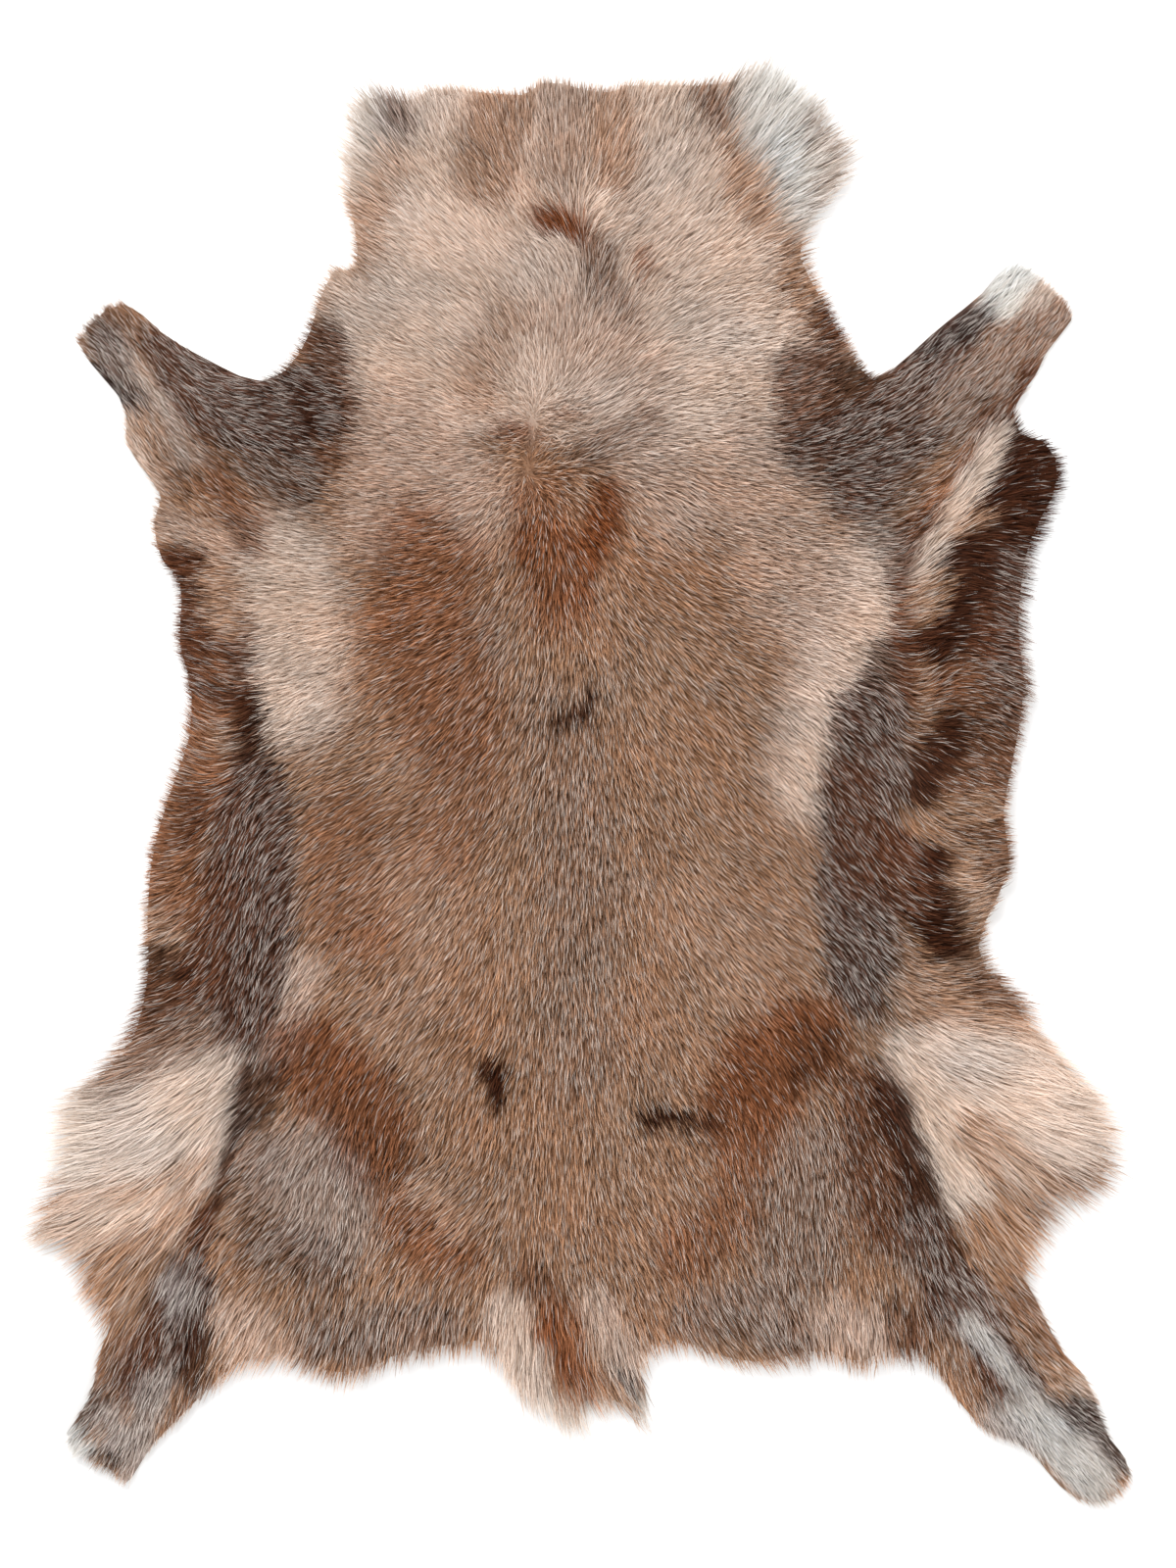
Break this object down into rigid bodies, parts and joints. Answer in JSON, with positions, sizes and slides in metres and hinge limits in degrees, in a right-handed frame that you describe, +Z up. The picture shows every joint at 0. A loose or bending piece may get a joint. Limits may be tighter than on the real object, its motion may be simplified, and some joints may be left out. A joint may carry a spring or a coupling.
{
  "type": "reindeer hide",
  "caption": "Whole tanned reindeer hide with its hair on, laid flat hair side up: neck, four leg skins, tail and flanks, with shallow folds along the edges.",
  "frame": {"origin": "middle of the hide's bounding box at its base, on the surface that it lies on", "axes": "+Y towards the neck, +X towards the side with the turned-out flank flap, +Z up out of the hair"},
  "size_m": [1.0112, 1.3272, 0.0316],
  "materials": {
    "coat": "dense brown and beige hair with pale tips",
    "skin": "pale tanned flesh side, dull and slightly fibrous"
  },
  "bodies": {
    "root": {"hide": "coat"}
  },
  "joints": []
}
